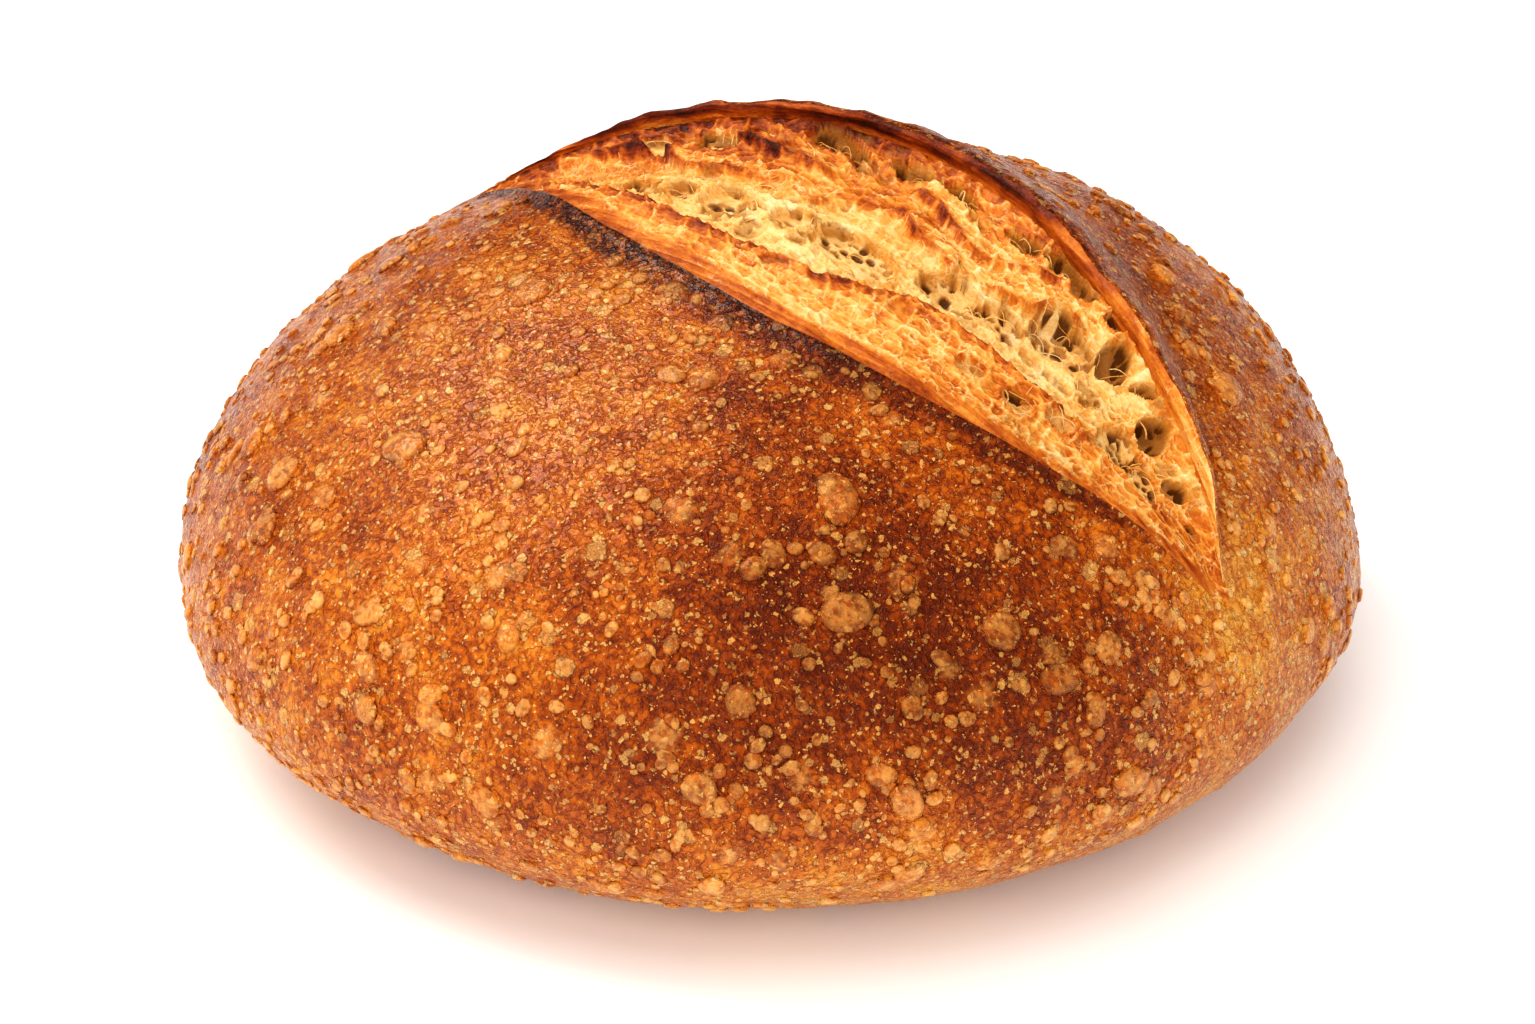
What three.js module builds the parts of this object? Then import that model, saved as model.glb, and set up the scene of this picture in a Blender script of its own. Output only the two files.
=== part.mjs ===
// A round sourdough loaf, baked on its own without a tin and opened along one long slash over the top.
// The loaf is one solid. It is a dome over a shallower underside that ends in a flat, round-edged base,
// and the slash is a valley of torn crumb between a low front lip and a raised back lip, the ear.
//
// Millimetres, +Z up. +X runs along the slash and +Y across it, from the front lip to the ear.
// The origin is on the base, at the centre of the loaf's box.
import * as THREE from "three";
import { ParametricGeometry } from "three/addons/geometries/ParametricGeometry.js";
import { mergeVertices } from "three/addons/utils/BufferGeometryUtils.js";

const { degToRad, lerp, clamp, smoothstep } = THREE.MathUtils;

// Driving dimensions of the dome, in mm
const LENGTH = 234; // along the slash
const WIDTH = 236; // across the slash
const RISE = 75; // from the belly, the widest level, to the crown without its ear
const SAG = 44; // how far the underside would reach below the belly if nothing cut it off
const BELLY_HEIGHT = 27; // from the base to the belly
const CROWN_FORWARD = 1.5; // the crown's place along the slash, from the middle of the belly
const CROWN_LEAN = 11; // how far the crown leans towards the ear side
const FULLNESS = 1.88; // 2 gives ellipses, and less makes the sides rise more steeply to a narrower crown
const BASE_ROUNDING = 7; // how high the rounding at the base's edge begins

// The slash, placed by two angles in degrees: turn, from the +X end over to the -X end, and roll,
// about the X axis, with 90 at the top and 180 at the front
const SLASH_START_TURN = 19; // where it closes at the +X end
const SLASH_END_TURN = 136; // where it closes at the -X end
const SLASH_START_ROLL = 98.5;
const SLASH_END_ROLL = 89;
const CREASE_HALF_WIDTH = 1.5; // the shallow crease left where the slash is closed
const FRONT_SPREAD = 15.5; // from the closed line to the front lip, at the middle
const EAR_SPREAD = 12.5; // from the closed line to the ear, at the middle
const LIP_BLUNTNESS = 0.92; // under 1 keeps the arc of a lip wide near its ends
const FULLY_OPEN = 0.55; // the share of the middle's spread at which the slash has its whole depth

// Cross-section of the slash: [share of the way from front lip to ear, height off the dome in mm]
const SLASH_SECTION = [
  [-0.08, 0],
  [-0.02, 1.0], // the front lip's rim
  [0.02, -1.5],
  [0.12, -4.0],
  [0.4, -3.0], // the crumb bulges between its lips
  [0.68, -4.5],
  [0.9, -7.5], // the pocket under the ear
  [1.0, -6.0],
  [0.99, -1.0],
  [0.94, 4.0],
  [0.93, 6.6], // the ear's edge
  [0.98, 7.4],
  [1.12, 4.8],
  [1.32, 1.4],
  [1.5, 0],
];

// Facets
const TURN_STEPS = 72;
const SECTION_STEPS = 60;
const SLASH_STEPS = 26; // of those, the ones across the slash

// A point of the loaf without its slash, from a turn and a roll in radians. The direction they give
// is stretched until its level and upright parts lie on a superellipse.
function domePoint(turn, roll) {
  const along = Math.cos(turn);
  const across = Math.sin(turn) * Math.cos(roll);
  const up = Math.sin(turn) * Math.sin(roll);
  const level = Math.hypot(along, across);
  const reach = (level ** FULLNESS + Math.abs(up) ** FULLNESS) ** (-1 / FULLNESS);
  const halfLength = LENGTH / 2 - Math.sign(along) * CROWN_FORWARD;
  const height = (up > 0 ? RISE : SAG) * up * reach;
  const lean = CROWN_LEAN * clamp(height / RISE, 0, 1) ** 2;
  return new THREE.Vector3(
    CROWN_FORWARD + halfLength * along * reach,
    lean + (WIDTH / 2) * across * reach,
    flattened(BELLY_HEIGHT + height),
  );
}

// Cuts the underside off at the base, with a round edge: a parabola joins the flat to the slope above.
function flattened(height) {
  if (height <= -BASE_ROUNDING) return 0;
  if (height >= BASE_ROUNDING) return height;
  return (height + BASE_ROUNDING) ** 2 / (4 * BASE_ROUNDING);
}

// The way out of the dome at a point on it, taken as the normal of an ellipsoid of the loaf's proportions.
function outward(point) {
  const rise = point.z > BELLY_HEIGHT ? RISE : SAG;
  return new THREE.Vector3(
    (point.x - CROWN_FORWARD) / LENGTH ** 2,
    point.y / WIDTH ** 2,
    (point.z - BELLY_HEIGHT) / (2 * rise) ** 2,
  ).normalize();
}

// Where the two lips lie at a turn, as rolls in degrees, and how deep the slash is there, from 0 to 1.
function slashAt(turnDegrees) {
  const share = clamp((turnDegrees - SLASH_START_TURN) / (SLASH_END_TURN - SLASH_START_TURN), 0, 1);
  const arc = Math.sin(Math.PI * share);
  const closedLine = lerp(SLASH_START_ROLL, SLASH_END_ROLL, share);
  return {
    front: closedLine + CREASE_HALF_WIDTH + FRONT_SPREAD * arc ** LIP_BLUNTNESS,
    ear: closedLine - CREASE_HALF_WIDTH - EAR_SPREAD * arc ** LIP_BLUNTNESS,
    depth: smoothstep(arc, 0, FULLY_OPEN),
  };
}

const slashCurve = new THREE.CatmullRomCurve3(
  SLASH_SECTION.map(([share, height]) => new THREE.Vector3(share, height, 0)),
);
const sectionStart = SLASH_SECTION[0][0];
const sectionEnd = SLASH_SECTION.at(-1)[0];

// The loaf's surface. Each cross-section starts at the front lip, crosses the slash, and goes down
// the ear side, under the base and up the front to the lip again.
function loafSurface(lengthShare, sectionShare, target) {
  const turn = Math.PI * (1 - lengthShare);
  const { front, ear, depth } = slashAt(THREE.MathUtils.radToDeg(turn));
  const slashShare = SLASH_STEPS / SECTION_STEPS;
  if (sectionShare <= slashShare) {
    const section = slashCurve.getPoint(sectionShare / slashShare);
    const point = domePoint(turn, degToRad(lerp(front, ear, section.x)));
    target.copy(point).addScaledVector(outward(point), section.y * depth);
  } else {
    const crustShare = (sectionShare - slashShare) / (1 - slashShare);
    const crustStart = lerp(front, ear, sectionEnd);
    const crustEnd = lerp(front, ear, sectionStart) - 360;
    target.copy(domePoint(turn, degToRad(lerp(crustStart, crustEnd, crustShare))));
  }
}

// Joins the seam and the two ends, and drops the triangles that shrink to nothing there.
function closed(surface) {
  surface.deleteAttribute("normal");
  surface.deleteAttribute("uv");
  const merged = mergeVertices(surface, 1e-3);
  const corners = merged.index.array;
  const kept = [];
  for (let i = 0; i < corners.length; i += 3) {
    const [a, b, c] = corners.subarray(i, i + 3);
    if (a !== b && b !== c && c !== a) kept.push(a, b, c);
  }
  return merged.setIndex(kept);
}

function loafGeometry() {
  const geometry = closed(new ParametricGeometry(loafSurface, TURN_STEPS, SECTION_STEPS));
  geometry.computeBoundingBox();
  const middle = geometry.boundingBox.getCenter(new THREE.Vector3());
  geometry.translate(-middle.x, -middle.y, 0);
  geometry.computeVertexNormals();
  return geometry;
}

const crust = new THREE.MeshStandardMaterial({ color: 0xb5601d, roughness: 0.5, metalness: 0 });

const loaf = new THREE.Mesh(loafGeometry(), crust);
loaf.name = "loaf";

const group = new THREE.Group();
group.add(loaf);

export default group;
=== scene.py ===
import math

import bpy
import numpy as np
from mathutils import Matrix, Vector


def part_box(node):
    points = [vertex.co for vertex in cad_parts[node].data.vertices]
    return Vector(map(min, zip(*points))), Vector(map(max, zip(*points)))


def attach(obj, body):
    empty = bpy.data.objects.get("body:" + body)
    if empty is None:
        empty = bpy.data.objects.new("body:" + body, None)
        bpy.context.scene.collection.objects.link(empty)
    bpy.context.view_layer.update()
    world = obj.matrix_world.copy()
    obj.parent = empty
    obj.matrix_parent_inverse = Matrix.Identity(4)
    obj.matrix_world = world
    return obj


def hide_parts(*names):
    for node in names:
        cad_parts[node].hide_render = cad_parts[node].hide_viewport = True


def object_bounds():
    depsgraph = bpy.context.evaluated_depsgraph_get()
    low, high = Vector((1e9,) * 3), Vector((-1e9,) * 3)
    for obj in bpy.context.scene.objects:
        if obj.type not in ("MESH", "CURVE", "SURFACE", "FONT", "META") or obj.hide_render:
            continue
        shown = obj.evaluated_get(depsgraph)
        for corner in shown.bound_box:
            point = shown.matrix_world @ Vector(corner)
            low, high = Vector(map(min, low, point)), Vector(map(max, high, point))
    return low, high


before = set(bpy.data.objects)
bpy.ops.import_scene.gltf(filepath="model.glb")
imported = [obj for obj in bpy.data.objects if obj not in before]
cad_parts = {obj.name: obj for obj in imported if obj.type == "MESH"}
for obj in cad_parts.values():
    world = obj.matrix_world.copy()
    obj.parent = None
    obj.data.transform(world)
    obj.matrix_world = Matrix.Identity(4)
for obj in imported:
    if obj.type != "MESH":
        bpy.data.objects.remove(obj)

cadLow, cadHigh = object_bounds()
loafLow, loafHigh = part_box("loaf")
mm = 0.001

# The loaf's own measures, in mm and degrees. The belly is the widest level, turn is the angle from the
# +X end over to the -X end, and roll is the angle about the X axis, 90 at the top and 180 at the front.
loaf = {
    "length": (loafHigh.x - loafLow.x) / mm,  # along the slash
    "width": (loafHigh.y - loafLow.y) / mm,  # across the slash
    "centre": [(loafHigh.x + loafLow.x) / 2 / mm, (loafHigh.y + loafLow.y) / 2 / mm, loafLow.z / mm],
    "radius": 117,  # about, to turn mm on the crust into degrees
    "rise": 75,  # from the belly to the crown without its ear
    "sag": 44,  # how far the underside would reach if the base didn't cut it off
    "belly": 27,  # height of the belly
    "crownForward": 1.5,  # how far the crown lies towards +X
    "crownLean": 11,  # how far the crown lies towards the back
    "fullness": 1.88,  # the superellipse's power: 2 is round, less is more pointed
    "baseRounding": 7,
}

# The slash, in degrees of turn and roll unless a line says otherwise.
slash = {
    "startTurn": 19,
    "endTurn": 136,
    "startRoll": 98.5,
    "endRoll": 89,
    "crease": 1.5,  # half its width at its ends
    "frontSpread": 15.5,  # how far its middle opens to the front lip, and to the ear
    "earSpread": 12.5,
    "lipBluntness": 0.92,  # below 1 its ends are rounder
    "fullyOpen": 0.55,  # how far it has opened, as a share, where it has its full depth
    "length": 212,  # mm along the dome
    "width": 62,  # mm across at the middle
    "usualWidth": 60,  # mm, for browning and fibres beside it
}


# An eased step: the share of the way from low to high, held from 0 to 1, in 3 t squared less 2 t cubed.
def smooth(low, high, x):
    t = np.clip((x - low) / (high - low), 0, 1)
    return t * t * (3 - 2 * t)


# The value a share of the way from a to b, on a straight line.
def mix(a, b, share):
    return a + (b - a) * share


# A number from 0 to 1 for each whole-numbered lattice corner: its coordinates times large odd numbers,
# with the high bits folded over the low ones between two more products.
def cornerNumber(ix, iy, iz, seed):
    n = (ix * 374761393 + iy * 668265263 + iz * 1274126177 + seed * 974634777) & 0xFFFFFFFF
    n = ((n ^ (n >> 13)) * 1103515245) & 0xFFFFFFFF
    n = ((n ^ (n >> 16)) * 668265263) & 0xFFFFFFFF
    return (n ^ (n >> 15)) / 0xFFFFFFFF


# Smooth noise from -1 to 1: the eased mean of the numbers at the eight lattice corners round a point.
def softNoise(points, size, seed):
    place = points / size
    low = np.floor(place).astype(np.int64)
    t = place - low
    t = t * t * (3 - 2 * t)
    total = np.zeros(points.shape[:-1])
    for corner in range(8):
        dx, dy, dz = corner & 1, corner >> 1 & 1, corner >> 2
        weight = abs(1 - dx - t[..., 0]) * abs(1 - dy - t[..., 1]) * abs(1 - dz - t[..., 2])
        total += weight * cornerNumber(low[..., 0] + dx, low[..., 1] + dy, low[..., 2] + dz, seed)
    return total * 2 - 1


# Soft noise of several sizes added up: each layer is its size in mm and its height.
def layeredNoise(points, layers, seed):
    return sum(amount * softNoise(points, size, seed + i) for i, (size, amount) in enumerate(layers))


# Bubbles: every lattice cell holds one centre at a random place. Gives, for each point, the distance to
# the nearest centre and to the next one, in cells, and the nearest one's own random number.
def bubbles(points, size, seed):
    place = points / size
    low = np.floor(place).astype(np.int64)
    near = np.full(points.shape[:-1], 9.0)
    second = near.copy()
    number = np.zeros(points.shape[:-1])
    for step in range(27):
        ix = low[..., 0] + step % 3 - 1
        iy = low[..., 1] + step // 3 % 3 - 1
        iz = low[..., 2] + step // 9 - 1
        distance = np.sqrt(
            (ix + 0.1 + 0.8 * cornerNumber(ix, iy, iz, seed) - place[..., 0]) ** 2
            + (iy + 0.1 + 0.8 * cornerNumber(ix, iy, iz, seed + 1) - place[..., 1]) ** 2
            + (iz + 0.1 + 0.8 * cornerNumber(ix, iy, iz, seed + 2) - place[..., 2]) ** 2
        )
        closer = distance < near
        second = np.where(closer, near, np.minimum(second, distance))
        number = np.where(closer, cornerNumber(ix, iy, iz, seed + 3), number)
        near = np.minimum(near, distance)
    return near, second, number


# A smooth curve through points, as cubic pieces whose slope at each point is that of its neighbours.
def smoothCurve(points, count):
    points = np.array(points, float)
    padded = np.vstack([2 * points[0] - points[1], points, 2 * points[-1] - points[-2]])
    place = np.linspace(0, len(points) - 1, count)
    i = np.minimum(place.astype(int), len(points) - 2)
    t = (place - i)[:, None]
    a, b, c, d = padded[i], padded[i + 1], padded[i + 2], padded[i + 3]
    return 0.5 * (2 * b + (c - a) * t + (2 * a - 5 * b + 4 * c - d) * t ** 2
                  + (3 * b - a - 3 * c + d) * t ** 3)


# The dome: a direction from turn and roll is stretched until its level and upright parts lie on a
# superellipse, the crown leans towards +Y, and a parabola rounds the slope into the flat base.
def domePoint(turn, roll):
    turn, roll = np.broadcast_arrays(np.radians(turn), np.radians(roll))
    along = np.cos(turn)
    across = np.sin(turn) * np.cos(roll)
    up = np.sin(turn) * np.sin(roll)
    full = loaf["fullness"]
    reach = (np.hypot(along, across) ** full + abs(up) ** full + 1e-15) ** (-1 / full)
    halfLength = loaf["length"] / 2 - np.sign(along) * loaf["crownForward"]
    height = np.where(up > 0, loaf["rise"], loaf["sag"]) * up * reach
    lean = loaf["crownLean"] * np.clip(height / loaf["rise"], 0, 1) ** 2
    z = loaf["belly"] + height
    edge = loaf["baseRounding"]
    z = np.where(z <= -edge, 0, np.where(z >= edge, z, (z + edge) ** 2 / (4 * edge)))
    x = loaf["crownForward"] + halfLength * along * reach
    y = lean + loaf["width"] / 2 * across * reach
    return np.stack([x, y, z], -1)


# The way out of the dome: the normal of an ellipsoid of the loaf's proportions.
def outward(point):
    rise = np.where(point[..., 2] > loaf["belly"], loaf["rise"], loaf["sag"])
    way = np.stack([
        (point[..., 0] - loaf["crownForward"]) / loaf["length"] ** 2,
        point[..., 1] / loaf["width"] ** 2,
        (point[..., 2] - loaf["belly"]) / (2 * rise) ** 2,
    ], -1)
    return way / (np.linalg.norm(way, axis=-1, keepdims=True) + 1e-15)


# How far along the slash a turn is, from 0 at its +X end to 1.
def slashShare(turn):
    return (turn - slash["startTurn"]) / (slash["endTurn"] - slash["startTurn"])


# Where the front lip and the ear lie at a turn, as rolls, and how deep the slash is there, from 0 to 1.
# They lie either side of a straight line from its start to its end, by a sine arc to a power.
def slashAt(turn):
    share = np.clip(slashShare(turn), 0, 1)
    arc = np.sin(np.pi * share)
    closedLine = mix(slash["startRoll"], slash["endRoll"], share)
    spread = arc ** slash["lipBluntness"]
    front = closedLine + slash["crease"] + slash["frontSpread"] * spread
    ear = closedLine - slash["crease"] - slash["earSpread"] * spread
    return front, ear, smooth(0, slash["fullyOpen"], arc)


# A point of the dome at a share of the way from the front lip (0) to the ear (1).
def acrossSlash(turn, across):
    front, ear, depth = slashAt(turn)
    return domePoint(turn, mix(front, ear, across)), depth


# Points in the loaf's own mm, moved to its place and turned to metres.
def inMetres(points):
    return (points + loaf["centre"]) * mm


# The faces of closed bodies made of rings, which are four-sided between one ring and the next, with a
# fan of triangles over each end. A body's points are its rings and then its two end points.
def ringFaces(rings, sides, count=1):
    ring = np.arange(rings * sides).reshape(rings, sides)
    following = np.roll(ring, -1, axis=1)
    quads = np.stack([ring[:-1], ring[1:], following[1:], following[:-1]], -1).reshape(-1, 4)
    startFan = np.stack([np.full(sides, rings * sides), ring[0], following[0]], -1)
    endFan = np.stack([np.full(sides, rings * sides + 1), following[-1], ring[-1]], -1)
    offset = (np.arange(count) * (rings * sides + 2))[:, None, None]
    triangles = np.vstack([startFan, endFan]) + offset
    return (quads + offset).reshape(-1, 4), triangles.reshape(-1, 3)


# Puts points and the corners of faces into a mesh as whole arrays. Its attributes are {name: values},
# with a number or a vector for each point.
def meshFrom(name, points, faces, attributes):
    quads, triangles = faces
    mesh = bpy.data.meshes.new(name)
    mesh.vertices.add(len(points))
    mesh.vertices.foreach_set("co", inMetres(points).astype(np.float32).ravel())
    corners = np.concatenate([quads.ravel(), triangles.ravel()])
    triangleStarts = len(quads) * 4 + np.arange(len(triangles)) * 3
    starts = np.concatenate([np.arange(len(quads)) * 4, triangleStarts])
    mesh.loops.add(len(corners))
    mesh.loops.foreach_set("vertex_index", corners.astype(np.int32))
    mesh.polygons.add(len(starts))
    mesh.polygons.foreach_set("loop_start", starts.astype(np.int32))
    mesh.polygons.foreach_set("use_smooth", np.ones(len(starts), bool))
    mesh.update(calc_edges=True)
    mesh.validate()
    for attributeName, values in attributes.items():
        kind, field = ("FLOAT_VECTOR", "vector") if values.ndim == 2 else ("FLOAT", "value")
        attribute = mesh.attributes.new(attributeName, kind, "POINT")
        attribute.data.foreach_set(field, values.astype(np.float32).ravel())
    return mesh


# A closed surface from a grid of points: rows run along, each row is a closed ring, and the first and
# the last row are gathered into one point each, as are their attributes.
def closedGrid(name, rows, attributes):
    def gathered(values):
        ends = np.stack([values[0].mean(0), values[-1].mean(0)])
        return np.concatenate([values[1:-1].reshape(-1, *values.shape[2:]), ends])

    attributes = {key: gathered(values) for key, values in attributes.items()}
    return meshFrom(name, gathered(rows), ringFaces(rows.shape[0] - 2, rows.shape[1]), attributes)


# Makes a mesh a piece of the loaf, with the slot of its finish.
def addPiece(name, mesh, materials):
    piece = bpy.data.objects.new(name, mesh)
    bpy.context.scene.collection.objects.link(piece)
    for material in materials:
        mesh.materials.append(material)
    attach(piece, "root")
    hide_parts("loaf")
    return piece


# The linear colour of an sRGB hex one, by the sRGB curve on each channel.
def linear(hexColour):
    channels = [int(hexColour[i:i + 2], 16) / 255 for i in (1, 3, 5)]
    return [c / 12.92 if c <= 0.04045 else ((c + 0.055) / 1.055) ** 2.4 for c in channels] + [1]


# Adds one node and gives back one of its outputs. The inputs are values or other nodes' outputs, by the
# socket's name or place, the settings are the node's own properties, and stops are a ramp's colours by
# place. A Map Range node's places are the value, from low, from high, to low and to high, and a colour
# Mix node's are 0 for the share and 6 and 7 for the colours.
def addNode(tree, kind, inputs, output=0, stops=None, **settings):
    node = tree.nodes.new("ShaderNode" + kind)
    for name, value in settings.items():
        setattr(node, name, value)
    for name, value in inputs.items():
        if isinstance(value, bpy.types.NodeSocket):
            tree.links.new(value, node.inputs[name])
        else:
            node.inputs[name].default_value = value
    for i, (where, colour) in enumerate((stops or {}).items()):
        elements = node.color_ramp.elements
        element = elements[i] if i < 2 else elements.new(where)
        element.position = where
        element.color = linear(colour)
    return node.outputs[output] if node.outputs else node


# An empty material and its nodes.
def newMaterial(name):
    material = bpy.data.materials.new(name)
    material.use_nodes = True
    material.node_tree.nodes.clear()
    return material, material.node_tree


eased = {"interpolation_type": "SMOOTHSTEP"}  # a Map Range that starts and ends gently

crustLook = {
    "mottle": 9.0,  # mm, the patches of more and less browning
    "fineMottle": 1.4,
    "wrinkle": 2.0,
    "grain": 0.4,
    "blisterPatch": 1.7,
    "relief": 0.9,  # mm, the deepest of the bumps in the skin
    "roughness": (0.22, 0.4),
    "coat": (0.16, 1.0),  # weight of the thin gloss, over most of it and in the glossy patch
    # colours from pale to deep browning, of the skin and of the gas bubbles under it
    "skin": {
        0.0: "#e8a640", 0.16: "#da8826", 0.32: "#c5650d", 0.48: "#a04504", 0.66: "#752a04",
        1.0: "#421403",
    },
    "paleSkin": {0.0: "#f8d68e", 0.4: "#f6c475", 0.7: "#e2a04e", 1.0: "#c47c32"},
    "char": "#2c0f08",
    "speckShake": (1.1, 1.7),  # mm, size and reach of the noise that makes the specks irregular
    # pale specks of small gas bubbles: [spacing in mm, share of cells left empty, radius in cells,
    # cover].
    # The finest layer is partly tiny pale flecks and partly painted glints.
    "specks": [
        (5.6, 0.58, 0.42, 0.4),
        (2.7, 0.28, 0.40, 0.7),
        (1.35, 0.26, 0.42, 0.85),
        (0.7, 0.5, 0.42, 0.9),
    ],
}


# Crust of a hearth-baked wheat sourdough, steamed and then browned in dry heat. The starch on its skin
# gelatinised, so it has a thin, broken gloss, and gas just under it left pale raised specks.
def blisteredCrust():
    material, tree = newMaterial("blisteredCrust")
    here = addNode(tree, "TexCoord", {}, "Object")
    bake, char, blister, sheen = [
        addNode(tree, "Attribute", {}, "Fac", attribute_name=name)
        for name in ("bake", "char", "blister", "sheen")
    ]
    bare = addNode(tree, "Math", {0: blister, 1: -0.6, 2: 1.0}, operation="MULTIPLY_ADD", use_clamp=True)

    mottle, fine, grain, wrinkle, patches = [
        addNode(tree, "TexNoise", {
            "Vector": here, "Scale": 1 / (crustLook[size] * mm), "Detail": detail, "Roughness": roughness,
        }, "Fac")
        for size, detail, roughness in (
            ("mottle", 3.0, 0.6), ("fineMottle", 3.0, 0.65), ("grain", 2.0, 0.5), ("wrinkle", 2.0, 0.55),
            ("blisterPatch", 3.0, 0.65),
        )
    ]
    wrinkle = addNode(tree, "Math", {0: wrinkle, 1: 0.5}, operation="SUBTRACT")
    wrinkle = addNode(tree, "Math", {0: wrinkle}, operation="ABSOLUTE")  # creases where it crosses 0.5
    wrinkle = addNode(tree, "MapRange", {0: wrinkle, 1: 0.0, 2: 0.08, 3: 0.0, 4: 1.0}, **eased)
    broad = addNode(tree, "MapRange", {0: mottle, 1: 0.3, 2: 0.7, 3: -0.10, 4: 0.10}, **eased)
    close = addNode(tree, "MapRange", {0: fine, 1: 0.32, 2: 0.68, 3: -0.12, 4: 0.12}, **eased)
    shade = addNode(tree, "Math", {0: bake, 1: broad}, operation="ADD")
    shade = addNode(tree, "Math", {0: shade, 1: close}, operation="ADD")
    # the creases keep a darker colour than the skin round them: painted shade in the creases
    shade = addNode(tree, "Math", {
        0: wrinkle, 1: -0.08, 2: shade,
    }, operation="MULTIPLY_ADD", use_clamp=True)
    colour = addNode(tree, "ValToRGB", {"Fac": shade}, "Color", crustLook["skin"])

    # irregular specks: bubbles read at places shaken by noise
    shakeSize, shakeReach = crustLook["speckShake"]
    shake = addNode(tree, "TexNoise", {
        "Vector": here, "Scale": 1 / (shakeSize * mm), "Detail": 2.0,
    }, "Color")
    shake = addNode(tree, "VectorMath", {0: shake, 1: (0.5, 0.5, 0.5)}, operation="SUBTRACT")
    shaken = addNode(tree, "VectorMath", {
        0: shake, 1: (shakeReach * mm,) * 3, 2: here,
    }, operation="MULTIPLY_ADD")
    paleSkin = addNode(tree, "ValToRGB", {"Fac": bake}, "Color", crustLook["paleSkin"])
    height = addNode(tree, "Math", {0: fine, 1: 0.6}, operation="MULTIPLY")
    # the finest layer of specks is partly painted glints: pale points standing in for highlights
    for spacing, empty, radius, most in crustLook["specks"]:
        cells = {"Vector": shaken, "Scale": 1 / (spacing * mm)}
        numbers = addNode(tree, "TexVoronoi", cells, "Color")
        forSize, forCover = [addNode(tree, "SeparateColor", {0: numbers}, c) for c in ("Red", "Green")]
        size = addNode(tree, "MapRange", {0: forSize, 1: empty, 2: 1.0, 3: 0.0, 4: radius}, **eased)
        cover = addNode(tree, "MapRange", {0: forCover, 1: 0.0, 2: 0.8, 3: 0.4 * most, 4: most}, **eased)
        fromCentre = addNode(tree, "TexVoronoi", cells, "Distance")
        within = addNode(tree, "Math", {0: size, 1: fromCentre}, operation="SUBTRACT")
        within = addNode(tree, "MapRange", {0: within, 1: 0.0, 2: 0.08, 3: 0.0, 4: 1.0}, **eased)
        speck = addNode(tree, "Math", {0: within, 1: bare}, operation="MULTIPLY")
        share = addNode(tree, "Math", {0: speck, 1: cover}, operation="MULTIPLY")
        colour = addNode(tree, "Mix", {0: share, 6: colour, 7: paleSkin}, 2, data_type="RGBA")
        height = addNode(tree, "Math", {0: speck, 1: 0.14 * spacing, 2: height}, operation="MULTIPLY_ADD")

    # blisters are pale in patches, and the front lip is burnt in patches
    patchy = addNode(tree, "MapRange", {0: patches, 1: 0.38, 2: 0.6, 3: 0.15, 4: 0.7}, **eased)
    bubble = addNode(tree, "Math", {0: blister, 1: patchy}, operation="MULTIPLY")
    colour = addNode(tree, "Mix", {0: bubble, 6: colour, 7: paleSkin}, 2, data_type="RGBA")
    patchy = addNode(tree, "MapRange", {0: fine, 1: 0.38, 2: 0.56, 3: 0.25, 4: 1.0}, **eased)
    burnt = addNode(tree, "Math", {0: char, 1: patchy}, operation="MULTIPLY")
    charColour = linear(crustLook["char"])
    colour = addNode(tree, "Mix", {0: burnt, 6: colour, 7: charColour}, 2, data_type="RGBA")

    height = addNode(tree, "Math", {0: wrinkle, 1: 0.34, 2: height}, operation="MULTIPLY_ADD")
    height = addNode(tree, "Math", {0: grain, 1: 0.22, 2: height}, operation="MULTIPLY_ADD")
    skinDepth = {"Height": height, "Distance": crustLook["relief"] * mm}
    strength = addNode(tree, "MapRange", {0: blister, 1: 0.0, 2: 0.7, 3: 1.0, 4: 0.3}, **eased)
    bumps = addNode(tree, "Bump", {**skinDepth, "Strength": strength}, "Normal")
    glossBumps = addNode(tree, "Bump", {**skinDepth, "Strength": 0.6}, "Normal")
    low, high = crustLook["roughness"]
    dullness = addNode(tree, "MapRange", {0: fine, 1: 0.3, 2: 0.7, 3: low, 4: high}, **eased)
    dullness = addNode(tree, "Math", {0: blister, 1: -0.08, 2: dullness}, operation="MULTIPLY_ADD")
    low, high = crustLook["coat"]
    coat = addNode(tree, "MapRange", {0: sheen, 1: 0.0, 2: 1.0, 3: low, 4: high}, **eased)
    shader = addNode(tree, "BsdfPrincipled", {
        "Base Color": colour, "Normal": bumps, "Roughness": dullness, "IOR": 1.45,
        "Specular IOR Level": 0.22, "Coat Weight": coat, "Coat Normal": glossBumps,
        "Coat Roughness": 0.18, "Coat IOR": 1.6,
    })
    addNode(tree, "OutputMaterial", {"Surface": shader}, is_active_output=True)
    return material


crumbLook = {
    "fibreLength": 3.4,  # mm, the torn gluten's strands, drawn three times their real width to show
    "fibreWidth": 0.55,
    "mottle": 4.0,
    "fineMottle": 0.8,
    "pore": 1.1,  # mm between the smallest gas cells
    "webSpacing": 2.1,
    "webBend": (1.5, 1.6),  # mm, size and reach of the noise that bends the webs
    "relief": 0.7,
    "roughness": 0.42,
    "lightDepth": 1.5,  # mm that light goes in
    # colours from the palest crumb to the darkest toast
    "toasting": {
        0.0: "#f5e0b2", 0.18: "#f1cb84", 0.34: "#e8a64a", 0.5: "#d87c22", 0.66: "#b0520f",
        0.82: "#7a2a08", 1.0: "#3a1005",
    },
    "web": "#fbdc9a",
    # painted shade: the tan of the shaded gas cells, and the dark brown of their deepest holes
    "hollowShade": "#ad7029",
    "deepShade": "#502806",
}
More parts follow.
